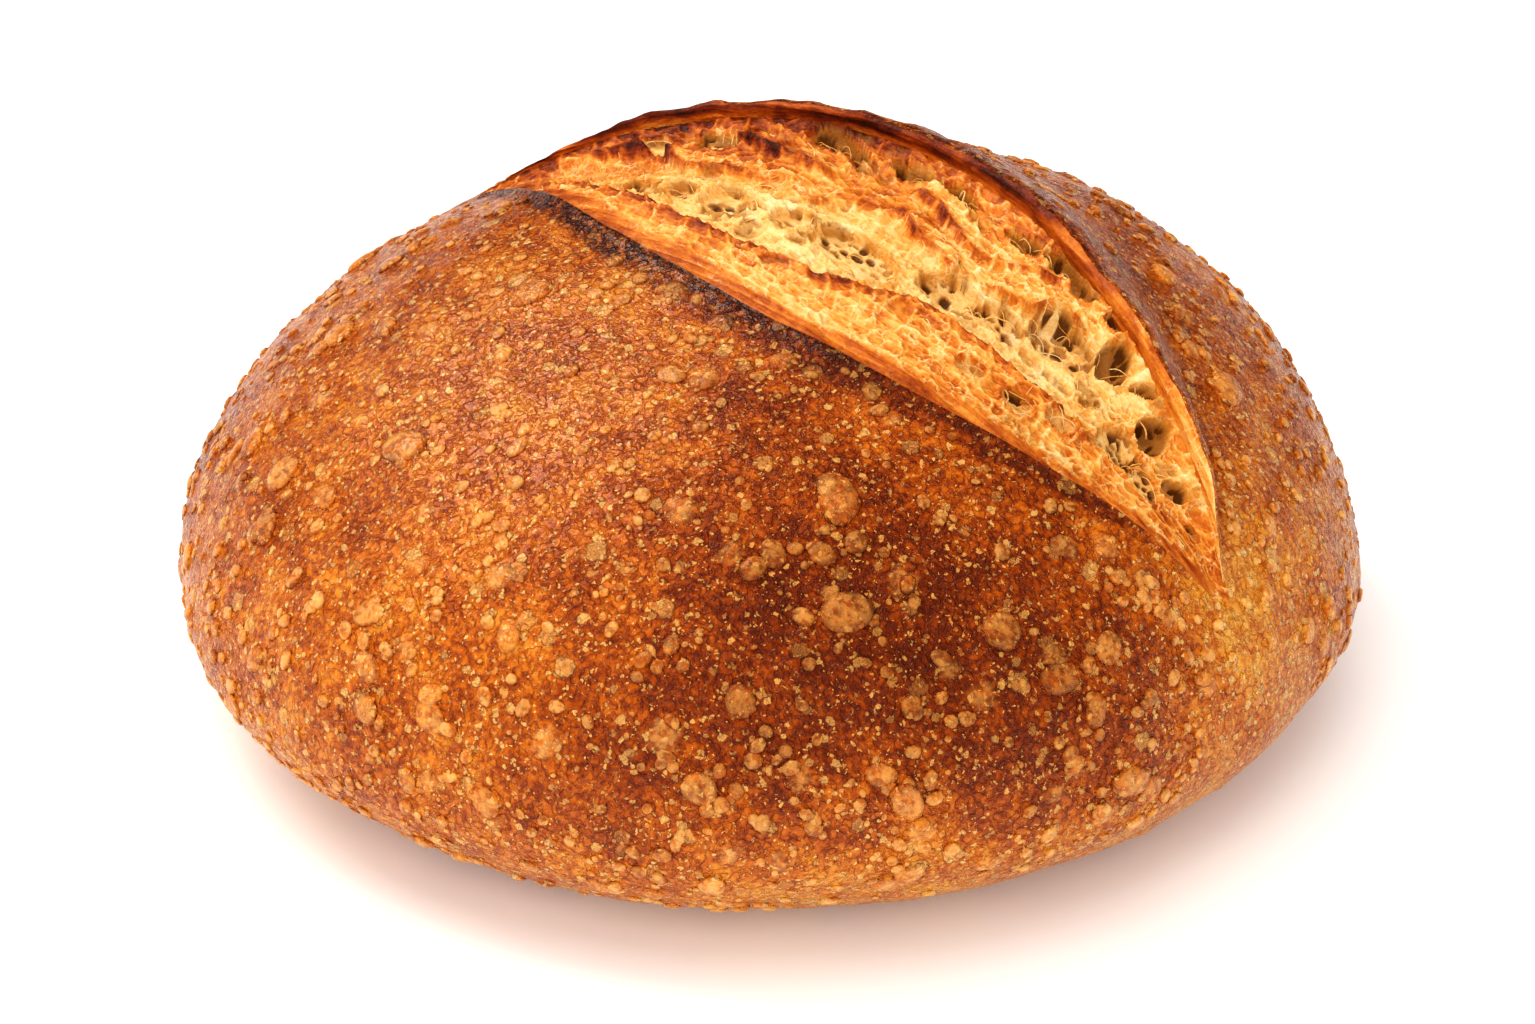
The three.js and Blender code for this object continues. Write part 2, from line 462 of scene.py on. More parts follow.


# Torn wheat crumb, set by the heat and toasted where it stood up to the oven. Thin walls and strands of
# gluten lie round its gas cells. The set starch gives it a soft sheen, and light goes in a little.
# Its gas cells are darkened with painted shade, kept in the hollowShade attribute.
def tornCrumb():
    material, tree = newMaterial("tornCrumb")
    here = addNode(tree, "TexCoord", {}, "Object")
    fibre = addNode(tree, "Attribute", {}, "Vector", attribute_name="fibre")
    toast = addNode(tree, "Attribute", {}, "Fac", attribute_name="toast")
    hollowShade = addNode(tree, "Attribute", {}, "Fac", attribute_name="hollowShade")
    perFibre = (1 / crumbLook["fibreLength"], 1 / crumbLook["fibreWidth"], 1.0)
    stretch = addNode(tree, "Mapping", {"Vector": fibre, "Scale": perFibre})
    strands = addNode(tree, "TexNoise", {
        "Vector": stretch, "Scale": 1.0, "Detail": 3.0, "Roughness": 0.6, "Distortion": 0.8,
    }, "Fac")
    mottle, fine = [
        addNode(tree, "TexNoise", {
            "Vector": here, "Scale": 1 / (crumbLook[size] * mm), "Detail": 3.0, "Roughness": 0.6,
        }, "Fac")
        for size in ("mottle", "fineMottle")
    ]
    pores = addNode(tree, "TexVoronoi", {
        "Vector": here, "Scale": 1 / (crumbLook["pore"] * mm),
    }, "Distance")

    broad = addNode(tree, "MapRange", {0: mottle, 1: 0.3, 2: 0.7, 3: -0.06, 4: 0.06}, **eased)
    close = addNode(tree, "MapRange", {0: strands, 1: 0.3, 2: 0.7, 3: 0.07, 4: -0.07}, **eased)
    shade = addNode(tree, "Math", {0: toast, 1: broad}, operation="ADD")
    shade = addNode(tree, "Math", {0: shade, 1: close}, operation="ADD", use_clamp=True)
    colour = addNode(tree, "ValToRGB", {"Fac": shade}, "Color", crumbLook["toasting"])

    # thin pale webs between the small cells, where the crumb is neither toasted nor in a mottle's dip
    bendSize, bendReach = crumbLook["webBend"]
    bend = addNode(tree, "TexNoise", {
        "Vector": here, "Scale": 1 / (bendSize * mm), "Detail": 2.0,
    }, "Color")
    bent = addNode(tree, "VectorMath", {
        0: bend, 1: (bendReach * mm,) * 3, 2: here,
    }, operation="MULTIPLY_ADD")
    webs = addNode(tree, "TexVoronoi", {
        "Vector": bent, "Scale": 1 / (crumbLook["webSpacing"] * mm),
    }, "Distance", feature="DISTANCE_TO_EDGE")
    webs = addNode(tree, "MapRange", {0: webs, 1: 0.02, 2: 0.11, 3: 1.0, 4: 0.0}, **eased)
    inPatches = addNode(tree, "MapRange", {0: mottle, 1: 0.4, 2: 0.6, 3: 0.0, 4: 0.6}, **eased)
    untoasted = addNode(tree, "MapRange", {0: toast, 1: 0.42, 2: 0.6, 3: 1.0, 4: 0.0}, **eased)
    webs = addNode(tree, "Math", {0: webs, 1: inPatches}, operation="MULTIPLY")
    webs = addNode(tree, "Math", {0: webs, 1: untoasted}, operation="MULTIPLY")
    # painted shade in the cells: the tan where hollowShade is low, the dark brown where it is high
    shallow = addNode(tree, "MapRange", {0: hollowShade, 1: 0.0, 2: 0.5, 3: 0.0, 4: 0.85}, **eased)
    deep = addNode(tree, "MapRange", {0: hollowShade, 1: 0.35, 2: 1.0, 3: 0.0, 4: 0.9}, **eased)
    for share, tint in ((webs, "web"), (shallow, "hollowShade"), (deep, "deepShade")):
        tint = linear(crumbLook[tint])
        colour = addNode(tree, "Mix", {0: share, 6: colour, 7: tint}, 2, data_type="RGBA")

    height = addNode(tree, "Math", {0: strands, 1: 0.28}, operation="MULTIPLY")
    height = addNode(tree, "Math", {0: fine, 1: 0.3, 2: height}, operation="MULTIPLY_ADD")
    poreDepth = addNode(tree, "MapRange", {0: pores, 1: 0.1, 2: 0.45, 3: 0.0, 4: 0.2}, **eased)
    height = addNode(tree, "Math", {0: height, 1: poreDepth}, operation="ADD")
    bumps = addNode(tree, "Bump", {
        "Height": height, "Distance": crumbLook["relief"] * mm, "Strength": 0.7,
    }, "Normal")
    shader = addNode(tree, "BsdfPrincipled", {
        "Base Color": colour, "Normal": bumps, "Roughness": crumbLook["roughness"], "IOR": 1.4,
        "Specular IOR Level": 0.4, "Subsurface Weight": 0.12, "Subsurface Radius": (1.0, 0.55, 0.25),
        "Subsurface Scale": crumbLook["lightDepth"] * mm,
    })
    addNode(tree, "OutputMaterial", {"Surface": shader}, is_active_output=True)
    return material


crustMaterial = blisteredCrust()
crumbMaterial = tornCrumb()
print("materials made")

crust = {
    "turnRows": 290,
    "slashColumns": 112,
    "backColumns": 84,
    "baseColumns": 16,
    "frontColumns": 122,
    "feet": (-38.0, -142.0),  # rolls at which the crust turns under to the base, at the back and front
    "lumps": [(46, 1.2), (19, 0.6), (8, 0.28), (3.4, 0.14)],  # size and height in mm
    "edgeWaves": [(15, 0.8), (5, 0.5), (2, 0.25)],  # the same, for the edges of the lip and the ear
    "bubbleSpacing": 10.0,  # mm
    "bubbleRadius": (0.14, 0.30),  # in spacings
    "bubbleRise": 0.28,  # in radii
    "withoutBubble": 0.4,  # the share of places with no bubble
    "layerHeight": 0.4,  # mm, the torn layers of the slash's faces
    "layerLength": 14,  # mm
    "bake": 0.41,  # how brown the sides are, from 0 for pale gold to 1 for deep brown
    "topBake": 0.04,  # more on top
    "footBake": 0.11,  # less near the base
    "bakeMottle": [(48, 0.05), (18, 0.07)],  # size in mm and change of bake
    "lipBake": 0.22,  # more in front of the front lip, fading over its reach in mm
    "lipReach": 13,
    "earBake": 0.06,  # more behind the ear
    "earReach": 26,
    "char": (0.25, 0.85),  # how burnt the front lip is, from the near end to the middle
    "charReach": 8.0,  # mm
    "charRagged": [(9, 3.0), (3, 2.4)],  # size and height in mm of its uneven edge
    "sheenAt": (96, 121),  # turn and roll of the glossy patch's middle
    "sheenReach": 46,
    "faceToast": 0.60,  # how toasted the torn faces of the slash are
    "seed": 11,
}

# The crust's own section at the slash: [share from front lip to ear, height off the dome in mm]. Its
# floor lies under the crumb and never shows.
slashSection = [
    [-0.10, 0], [-0.05, 0.4], [-0.018, 1.0], [0.0, 0.8], [0.01, -0.6], [0.016, -4], [0.06, -13],
    [0.5, -17], [1.0, -13], [1.05, -7], [1.03, -2], [0.992, 1.8], [0.965, 4.4],
    [0.95, 6.4], [0.955, 7.3], [0.985, 7.6], [1.06, 6.6], [1.16, 4.4], [1.32, 1.5], [1.5, 0],
]
sectionCurve = smoothCurve(slashSection, 400)
earBack = sectionCurve[sectionCurve[:, 0].argsort()][-120:]  # the part that slopes down behind the ear

# Places made browner or paler: [turn, roll, reach in mm, change of bake]. Most are the oven's browning.
# The browner ones low on the front, at turns 52, 60 and 32, are partly browning and partly painted
# shade, and the paler one at turn 98, roll 122 is a painted highlight where the key lamp's sheen lies.
browningAndPaintedLight = [
    [52, 134, 32, 0.22], [60, 160, 34, 0.17], [32, 148, 36, 0.20], [72, 114, 26, 0.10],
    [98, 122, 36, -0.11], [84, 150, 22, -0.08], [118, 150, 30, 0.05], [17, 97, 24, -0.22],
    [40, 190, 40, -0.16], [110, 178, 46, -0.03], [64, 70, 40, 0.06], [120, 60, 50, 0.06],
]


# How much the ear stands up along the slash: most past the middle, then its far end droops.
def earStand(share):
    return 1 + 0.12 * smooth(0.3, 0.52, share) - 0.5 * smooth(0.62, 0.9, share)


# Lumps, wrinkles and swellings of the crust in mm out of the dome, and how much a point is a bubble. A
# bubble's swelling is a half circle across.
def crustRelief(point):
    height = layeredNoise(point, crust["lumps"], crust["seed"])
    near, _, number = bubbles(point, crust["bubbleSpacing"], crust["seed"] + 20)
    near += 0.05 * softNoise(point, 2.4, crust["seed"] + 21)
    low, high = crust["bubbleRadius"]
    empty = crust["withoutBubble"]
    radius = np.where(number > empty, mix(low, high, (number - empty) / (1 - empty)), 0.01)
    swell = np.sqrt(np.clip(1 - (near / radius) ** 2, 0, 1))
    height += crust["bubbleRise"] * radius * crust["bubbleSpacing"] * swell
    standing = smooth(1.5, 9, point[..., 2])  # the base is pressed flat
    return height * standing, smooth(0, 0.6, swell) * mix(0.3, 1, number) * standing


# Height of the ear's back over the dome, by turn and share across, where the crust slopes down from it.
def earLift(turn, across, depth):
    lift = np.interp(across, earBack[:, 0], earBack[:, 1], left=0, right=0)
    return lift * depth * earStand(slashShare(turn))


# A point of the finished crust outside the slash, by turn and roll: the dome's, moved outward by the
# relief and by the ear's back.
def crustPoint(turn, roll):
    point = domePoint(turn, roll)
    relief = crustRelief(point)[0]
    front, ear, depth = slashAt(turn)
    lift = earLift(turn, (front - roll) / (front - ear), depth)
    return point + outward(point) * (relief + lift)[..., None]


# How the oven browned it, with painted shade and a painted highlight among its places: bake is 0 for pale
# gold and 1 for deep brown, char is the burnt edge. Each place made browner or paler fades as a bell
# curve, and so does what the lip and the ear add.
def crustBrowningAndPaintedLight(point, turn, roll):
    front, ear, _ = slashAt(turn)
    across = (front - roll) / (front - ear)
    share = slashShare(turn)
    bake = crust["bake"] + crust["topBake"] * smooth(4, 60, point[..., 2])
    bake += layeredNoise(point, crust["bakeMottle"], 5)
    # browner and paler places; some are painted shade, and one is a painted highlight
    for zoneTurn, zoneRoll, reach, change in browningAndPaintedLight:
        distance = np.linalg.norm(point - domePoint(zoneTurn, zoneRoll), axis=-1)
        bake += change * np.exp(-(distance / reach) ** 2)
    bake -= crust["footBake"] * smooth(34, 8, point[..., 2])
    narrowing = np.sin(np.pi * np.clip(share, 0.02, 0.98))
    fromLip = np.clip(-across, 0, 9) * slash["usualWidth"] * narrowing  # about mm
    behind = np.clip(across - 1, 0, 9) * slash["usualWidth"]
    ragged = layeredNoise(point, crust["charRagged"], 8)
    onFront = (across < 0.5) * smooth(0.0, 0.25, share) * smooth(1.04, 0.85, share)
    bake += crust["lipBake"] * np.exp(-(fromLip / crust["lipReach"]) ** 1.4) * onFront
    burnt = mix(*crust["char"], smooth(0.25, 0.6, share))
    char = smooth(crust["charReach"], 0.5, fromLip + ragged) * onFront * burnt
    onBack = (across > 0.5) * smooth(0.04, 0.2, share)
    bake += crust["earBake"] * np.exp(-(behind / crust["earReach"]) ** 1.4) * onBack
    return np.clip(bake, 0, 1), np.clip(char, 0, 1)


# Where the steam left the crust glossy: one broad patch high on the front, fading as a bell curve.
def crustSheen(point):
    distance = np.linalg.norm(point - domePoint(*crust["sheenAt"]), axis=-1)
    return np.exp(-(distance / crust["sheenReach"]) ** 2)


# The whole crust as one closed grid. Each row is a ring at one turn, which follows the section through
# the slash and then runs down the back, across the base and up the front. A point is the dome's, moved
# outward by the relief and by the section's height.
def buildCrust():
    turn = np.linspace(0, 180, crust["turnRows"])[::-1, None]
    front, ear, depth = slashAt(turn)
    section = smoothCurve(slashSection, crust["slashColumns"])
    backFoot, frontFoot = crust["feet"]
    spans = [mix(front, ear, section[None, :, 0])]
    for low, high, count in (
        (mix(front, ear, section[-1, 0]), backFoot, crust["backColumns"]),
        (backFoot, frontFoot, crust["baseColumns"]),
        (frontFoot, mix(front, ear, section[0, 0]) - 360, crust["frontColumns"]),
    ):
        spans.append(mix(low, high, (np.arange(count) + 1.0)[None, :] / (count + 1.0)) + 0 * turn)
    rolls = np.hstack(spans)
    turns = np.broadcast_to(turn, rolls.shape)
    dome = domePoint(turns, rolls)
    relief, bubble = crustRelief(dome)
    across = (front - rolls) / (front - ear)
    share = slashShare(turns)

    # the section's share across and height for every column of the ring, 0 outside the slash
    column = np.arange(rolls.shape[1])
    ownSection = np.zeros((len(column), 2))
    ownSection[:len(section)] = section
    sectionAcross, sectionHeight = ownSection.T
    lift = sectionHeight * depth
    lift = np.where((lift > 0) & (column >= len(section) // 2), lift * earStand(share), lift)
    lift += layeredNoise(dome, crust["edgeWaves"], 31) * smooth(2.0, 6.5, sectionHeight) * depth

    # the torn faces between the front lip and the top of the ear are layered, not blistered
    faceStart, faceEnd = np.argmax(section[:, 0] > 0.004), np.argmax(section[:, 1]) - 2
    inSlash = (column >= faceStart) & (column < faceEnd)
    face = np.stack([share * slash["length"] / crust["layerLength"], lift / 0.9, across * 30], -1)
    layers = softNoise(face, 1.0, 35) + 0.5 * softNoise(face * 2, 1.0, 36)
    torn = 0.3 * relief + crust["layerHeight"] * layers
    relief = mix(relief, torn, inSlash * smooth(0.0, 0.15, depth))
    points = dome + outward(dome) * (relief + lift)[..., None]

    bake, char = crustBrowningAndPaintedLight(dome, turns, rolls)
    edge = smooth(6.2, 7.4, sectionHeight) * (sectionAcross < 0.99)
    char = np.maximum(char, 0.45 * edge * smooth(0.15, 0.45, share))
    earToast = mix(-0.06, 0.26, smooth(0.2, 0.55, share))
    toast = crust["faceToast"] + earToast * smooth(3.5, 6.0, sectionHeight)
    toast += 0.06 * softNoise(dome, 6, 34) - 0.16 * smooth(0.3, 0.05, share) + 0.2 * layers
    fibre = np.stack([share * slash["length"], across * slash["usualWidth"], lift * 1.5], -1)
    mesh = closedGrid("loaf_crust", points, {
        "bake": bake, "char": char, "blister": bubble * 0.6, "sheen": crustSheen(dome),
        "toast": np.clip(toast, 0, 1), "hollowShade": np.zeros(rolls.shape), "fibre": fibre,
    })
    index = np.zeros(len(mesh.polygons), np.int32)
    crumbFaces = (inSlash & (depth > 0.03))[1:-2]
    index[:crumbFaces.size] = crumbFaces.ravel()
    mesh.polygons.foreach_set("material_index", index)
    return addPiece("loaf_crust", mesh, [crustMaterial, crumbMaterial])


buildCrust()
print("crust made")

crumb = {
    "rows": 496,
    "join": 0.43,  # share along the slash where its two lengths meet
    "columns": 186,
    "under": 8,
    "low": -0.03,  # the crumb's edges, tucked under the front lip and behind the ear's face
    "high": 1.05,
    "sheetWidth": 8.5,  # mm
    "sheet": 2.6,  # mm, how high the torn sheets' edges are
    "ridge": 1.8,  # mm
    "paleDip": 1.5,  # mm, how deep the pale band lies
    # patterns of gas cells: (spacing in mm, share of places left empty, smallest and largest radius in
    # spacings, share of the radius that is flat, seed)
    "mediumCells": (3.3, 0.3, 0.3, 0.66, 0.86, 61),
    "cavernCells": (2.3, 0.25, 0.3, 0.6, 0.75, 97),
    "smallCells": (1.5, 0.4, 0.3, 0.62, 0.8, 71),
    "lean": 0.4,  # how far the cells lean in under their upper rims, in depths
}

# Height of the crumb off the dome by share across the slash, in mm.
crumbSection = [
    [-0.03, -8], [0.0, -4.0], [0.03, -2.2], [0.10, -1.4], [0.2, -1.8], [0.4, -1.6], [0.6, -2.4],
    [0.74, -1.8], [0.84, -0.6], [0.91, 1.2], [0.955, 3.2], [0.975, 4.0], [1.0, 3.0], [1.05, 0.5],
]

# Large gas cells: [share along, share across, length, width, depth in mm].
gasCells = [
    [0.756, 0.42, 11, 7, 3.0], [0.705, 0.42, 9, 7, 3.2], [0.651, 0.44, 13, 9, 4.2],
    [0.586, 0.46, 10, 10, 4.4], [0.515, 0.47, 20, 12, 5.2], [0.425, 0.57, 15, 11, 6.4],
    [0.374, 0.62, 12, 9, 4.8], [0.319, 0.74, 16, 10, 5.4], [0.272, 0.88, 10, 8, 5.6],
    [0.192, 0.84, 9, 8, 6.4], [0.185, 0.58, 20, 13, 4.4], [0.130, 0.80, 7, 5, 4.6],
    [0.349, 0.27, 8, 5, 2.6], [0.299, 0.28, 8, 6, 2.8], [0.257, 0.34, 8, 6, 2.8],
    [0.222, 0.42, 9, 7, 3.2], [0.80, 0.84, 13, 4, 3.0], [0.745, 0.86, 15, 4.4, 3.2],
    [0.69, 0.88, 11, 4, 3.2], [0.625, 0.90, 15, 5, 3.8], [0.545, 0.91, 12, 4.6, 4.4],
    [0.495, 0.91, 12, 5, 4.6], [0.42, 0.91, 9, 4.4, 4.0], [0.362, 0.93, 15, 4.6, 5.0],
    [0.86, 0.5, 9, 5, 2.6], [0.092, 0.72, 4.4, 3.0, 3.4], [0.068, 0.66, 3.4, 2.4, 3.0],
    [0.05, 0.6, 2.6, 1.8, 2.4], [0.46, 0.86, 6, 3, 2.6], [0.59, 0.84, 7, 3, 2.6],
    [0.30, 0.94, 6, 3, 2.8], [0.23, 0.93, 5, 3, 3.0],
]


# The torn ridge below the pale band, as a share across for each share along, by straight lines.
def ridgeAcross(share):
    return np.interp(share, [0, 0.2, 0.24, 0.3, 0.37, 0.45, 0.52, 0.6, 0.7, 0.85, 1],
                     [0.4, 0.40, 0.42, 0.42, 0.40, 0.36, 0.27, 0.24, 0.26, 0.28, 0.3])


# The lower edge of the toasted flaps above the pale band, in the same way.
def flapAcross(share):
    return np.interp(share, [0, 0.2, 0.3, 0.37, 0.45, 0.52, 0.58, 0.61, 0.65, 0.7, 0.74, 0.78, 1],
                     [1.1, 1.05, 0.90, 0.76, 0.68, 0.72, 0.64, 0.58, 0.66, 0.74, 0.68, 0.78, 0.9])


# Where a place in the slash is in mm, along and across, and how wide the slash is there: a sine arc to
# a power, and a little more.
def slashFlat(share, across):
    width = slash["width"] * np.sin(np.pi * np.clip(share, 0, 1)) ** slash["lipBluntness"] + 3
    along = share * slash["length"]
    sideways = (across - 0.5) * width
    return np.stack([along, sideways, np.zeros(along.shape)], -1), width


# Points at a height over the dome. The heights stand up along the ear as it does, and at the slash's
# ends they shrink and sink. A tuck in mm takes them under the next length of crumb.
def overDome(dome, height, share, depth, tuck=0):
    lifted = np.where(height > 0, height * earStand(share), height) - tuck
    return dome + outward(dome) * (lifted * mix(0.2, 1, depth) - 0.9 * (1 - depth))[..., None]


# Gas cells in a pattern: 1 inside each cell's radius falling to 0 at its edge, and how far each point
# is from the wall between its two nearest cells, in spacings.
def cellPattern(points, kind):
    spacing, empty, low, high, flat, seed = crumb[kind]
    near, second, number = bubbles(points, spacing, seed)
    radius = np.where(number > empty, mix(low, high, number), 0.01)
    return smooth(radius, radius * flat, near), second - near


# The crumb without its cells: its section, a slow swell, the torn ridge, and overlapping torn sheets.
# The sheets are a sawtooth across the slash: each is highest at its edge, which faces the front.
def crumbSwell(share, across):
    flat, width = slashFlat(share, across)
    curve = smoothCurve(crumbSection, 200)
    height = np.interp(across, curve[:, 0], curve[:, 1])
    height = height + 0.9 * softNoise(flat, 24, 55) + 0.5 * softNoise(flat * [0.5, 1, 1], 7, 56)
    wave = layeredNoise(flat, [(13, 0.03), (5, 0.012)], 57)
    fromRidge = (across - ridgeAcross(share) - wave) * width
    fromFlap = (across - flapAcross(share) - wave) * width
    ridge = np.exp(-(np.clip(-fromRidge, 0, 99) / 4.5) ** 1.2) * smooth(0.7, -0.2, fromRidge)
    phase = fromFlap / crumb["sheetWidth"] + 0.55 * softNoise(flat * [0.7, 1, 1], 17, 60)
    phase = phase + 0.04 * softNoise(flat, 4, 61)
    part = phase - np.floor(phase)
    strength = smooth(-0.35, 0.35, softNoise(flat, 15, 62))
    strength = strength * smooth(-0.05, 0.05, phase) * smooth(0.93, 0.86, across)
    opened = smooth(0.06, 0.3, share) * smooth(1.0, 0.86, share)
    sheet = (1 - part) * smooth(0.0, 0.07, part) * strength
    edge = smooth(0.0, 0.06, part) * smooth(0.24, 0.06, part) * strength
    pale = smooth(-0.5, 0.8, fromRidge) * smooth(2.5, -2.5, fromFlap) * opened
    height = height + (crumb["ridge"] * ridge + crumb["sheet"] * sheet) * opened - crumb["paleDip"] * pale
    return flat, width, height, ridge * opened, edge * opened, pale


# The large gas cells as ovals at their places in the slash: how deep they go in mm, with a steep wall
# and a round floor, their thin raised rims, and the far halves, which go in under their rims.
def largeCells(bent, across):
    pit, rim, cavern = [np.zeros(across.shape) for _ in range(3)]
    for at, side, length, cellWidth, deep in gasCells:
        centre = slashFlat(np.array(at), np.array(side))[0]
        upward = (bent[..., 1] - centre[1]) / (cellWidth / 2)
        reach = np.hypot((bent[..., 0] - centre[0]) / (length / 2), upward)
        bowl = np.sqrt(np.clip(1 - reach ** 2, 0, 1))
        deep = deep * mix(0.75, 1, smooth(0.75, 0.85, side))
        pit = np.maximum(pit, deep * (0.12 * smooth(1.0, 0.9, reach) + 0.58 * bowl))
        cavern = np.maximum(cavern, smooth(-0.35, 0.15, upward) * smooth(1.0, 0.86, reach))
        rim = np.maximum(rim, np.exp(-((reach - 1.04) * min(length, cellWidth) / 2 / 0.4) ** 2))
    return pit, rim, cavern


# One length of the crumb, from share low to share high: the dome's points across the slash, moved
# outward by the swell, less its cells, plus walls, webs and threads. Where it meets the other length it
# runs on a little under it and ends in a flat cap.
def buildCrumb(name, low, high):
    share = np.linspace(low, high, crumb["rows"])[::-1, None]
    tuck = np.zeros(share.shape)
    step = (high - low) / (crumb["rows"] - 1)
    if low > 0:
        share = np.concatenate([share, [[low - step], [low - 2 * step]]])
        tuck = np.concatenate([tuck, [[0.03], [0.4]]])
    if high < 1:
        share = np.concatenate([[[high + 2 * step], [high + step]], share])
        tuck = np.concatenate([[[0.4], [0.03]], tuck])
    across = np.linspace(crumb["low"], crumb["high"], crumb["columns"])[None, :]
    share, across = np.broadcast_arrays(share, across)
    turn = mix(slash["startTurn"], slash["endTurn"], share)
    dome, depth = acrossSlash(turn, across)
    flat, width, height, ridge, edge, pale = crumbSwell(share, across)
    still = np.zeros(share.shape)
    bent = flat + 1.4 * np.stack([softNoise(flat, 9, 51), softNoise(flat, 9, 52), still], -1)
    warped = bent + 0.4 * np.stack([softNoise(flat, 2.2, 53), softNoise(flat, 2.2, 54), still], -1)

    pit, rim, cavern = largeCells(bent, across)
    inside = smooth(0.3, 1.6, pit)
    fromLip = (across + 0.02 * softNoise(flat, 8, 59)) * width
    lipFace = smooth(7.0, 5.6, fromLip)  # the fibrous face of the lip
    patches = smooth(-0.1, 0.5, softNoise(flat * [0.6, 1, 1], 9, 85))
    airy = np.clip(0.05 + 0.3 * patches + 0.4 * pale + 0.7 * inside, 0, 1) * (1 - lipFace)

    # medium and small cells, longer along the slash, and the thin walls left between them
    stretched = warped * [0.55, 1, 1]
    middle, gap = cellPattern(stretched, "mediumCells")
    wall = smooth(0.17, 0.02, gap) * (1 - lipFace)
    holes = cellPattern(warped * [0.8, 1, 1], "cavernCells")[0] * cavern
    small, gap = cellPattern(stretched + 0.3 * softNoise(flat, 3, 86)[..., None], "smallCells")
    web = smooth(0.2, 0.0, gap) * (1 - lipFace)

    # torn gluten in long threads, and the fine layers of the lip's face
    lines = (1 - abs(softNoise(warped * [0.16, 1.1, 1], 2.4, 81))) ** 9 * (1 - lipFace)
    layers = softNoise(flat * [0.06, 1, 1], 0.95, 84) + 0.4 * softNoise(flat * [0.12, 1, 1], 0.5, 87)

    height = height - pit + 0.75 * rim * (1 - inside)
    height -= 0.9 * middle * airy * (1 - 0.8 * inside) + 0.5 * small * airy + 0.7 * holes
    height += (0.5 * wall + 0.22 * web) * (1 - 0.8 * inside) + 0.45 * lines * (1 - 0.9 * inside)
    height += 0.6 * layers * lipFace + 0.12 * softNoise(warped, 0.9, 83)
    hidden = smooth(-0.03, 0.0, across) * smooth(1.05, 1.02, across)
    height = mix(-9.0, height, hidden)
    points = overDome(dome, height, share, depth, tuck)
    points[..., 1] += crumb["lean"] * pit * depth

    # toasting: most where it stood up to the heat, least in the cells and the pale band
    toast = 0.54 + 0.12 * softNoise(flat, 13, 91) + 0.06 * softNoise(flat, 5, 92)
    toast += 0.06 * smooth(0.5, 0.8, share)
    toast += 0.26 * ridge ** 2 + 0.34 * edge - 0.29 * pale * (1 - inside)
    underRidge = smooth(0.0, -4.0, (across - ridgeAcross(share)) * width)
    toast -= 0.10 * underRidge * smooth(0.35, 0.55, share)
    toast += 0.02 + 0.11 * smooth(0.55, 0.7, share) * smooth(0.42, 0.6, across)
    toast -= (0.17 * wall + 0.10 * web + 0.18 * lines) * (1 - 0.6 * pale)
    inCell = 0.25 + 0.06 * softNoise(flat, 4, 93) - 0.06 * web
    toast = mix(toast, inCell, inside * smooth(1.0, 0.86, across))
    toast += 0.08 * rim * (1 - inside)
    toast = mix(toast, 0.60 + 0.16 * layers + 0.06 * softNoise(flat, 9, 94), lipFace)
    toast += mix(0.04, 0.24, smooth(0.25, 0.6, share)) * smooth(0.90, 0.97, across)
    # painted shade, as hollowShade: darker in the medium and small cells, on the large cells' deeper
    # walls, in the holes and over the cells' far halves under their rims
    hollowShade = middle * airy * (0.5 - 0.4 * inside) + 0.35 * small * airy
    hollowShade += 0.38 * smooth(0.6, 1.8, pit) * smooth(0.80, 0.87, across)
    hollowShade += 0.85 * holes + 0.12 * cavern
    fibre = np.stack([flat[..., 0], flat[..., 1], height], -1)

    # the underside and the caps run straight back from the ear side to the lip side, and deeper down
    def straightBack(back, deeper):
        line = points[:, :1] * (1 - back) + points[:, -1:] * back
        return line - outward(line) * deeper * depth[:, :1, None]

    under = straightBack(np.linspace(1, 0, crumb["under"] + 2)[1:-1][None, :, None], 3.5)
    capLine = straightBack(np.linspace(0, 1, crumb["columns"])[None, :, None], 2.5)
    ring = np.concatenate([points, under], 1)
    capRing = np.concatenate([capLine, under], 1)
    capsBefore, capsAfter = 2 * (high < 1), 2 * (low > 0)
    ring = np.concatenate([*[capRing[:1]] * capsBefore, ring, *[capRing[-1:]] * capsAfter])

    def alongUnder(values, value):
        shape = (values.shape[0], crumb["under"]) + values.shape[2:]
        values = np.concatenate([values, np.full(shape, value, float)], 1)
        return np.concatenate([*[values[:1]] * capsBefore, values, *[values[-1:]] * capsAfter])

    mesh = closedGrid(name, ring, {
        "toast": alongUnder(np.clip(toast, 0, 1), 0.3),
        "hollowShade": alongUnder(np.clip(hollowShade, 0, 1), 0),
        "fibre": alongUnder(fibre, 0),
    })
    return addPiece(name, mesh, [crumbMaterial])


buildCrumb("loaf_crumb_near", 0, crumb["join"])
buildCrumb("loaf_crumb_far", crumb["join"], 1)
print("crumb made")

strands = {
    "count": 220,
    "steps": 9,
    "sides": 5,
    "radius": (0.08, 0.2),  # mm
    "length": (3.0, 10.0),
    "toast": (0.08, 0.42),
    "seed": 9,
}


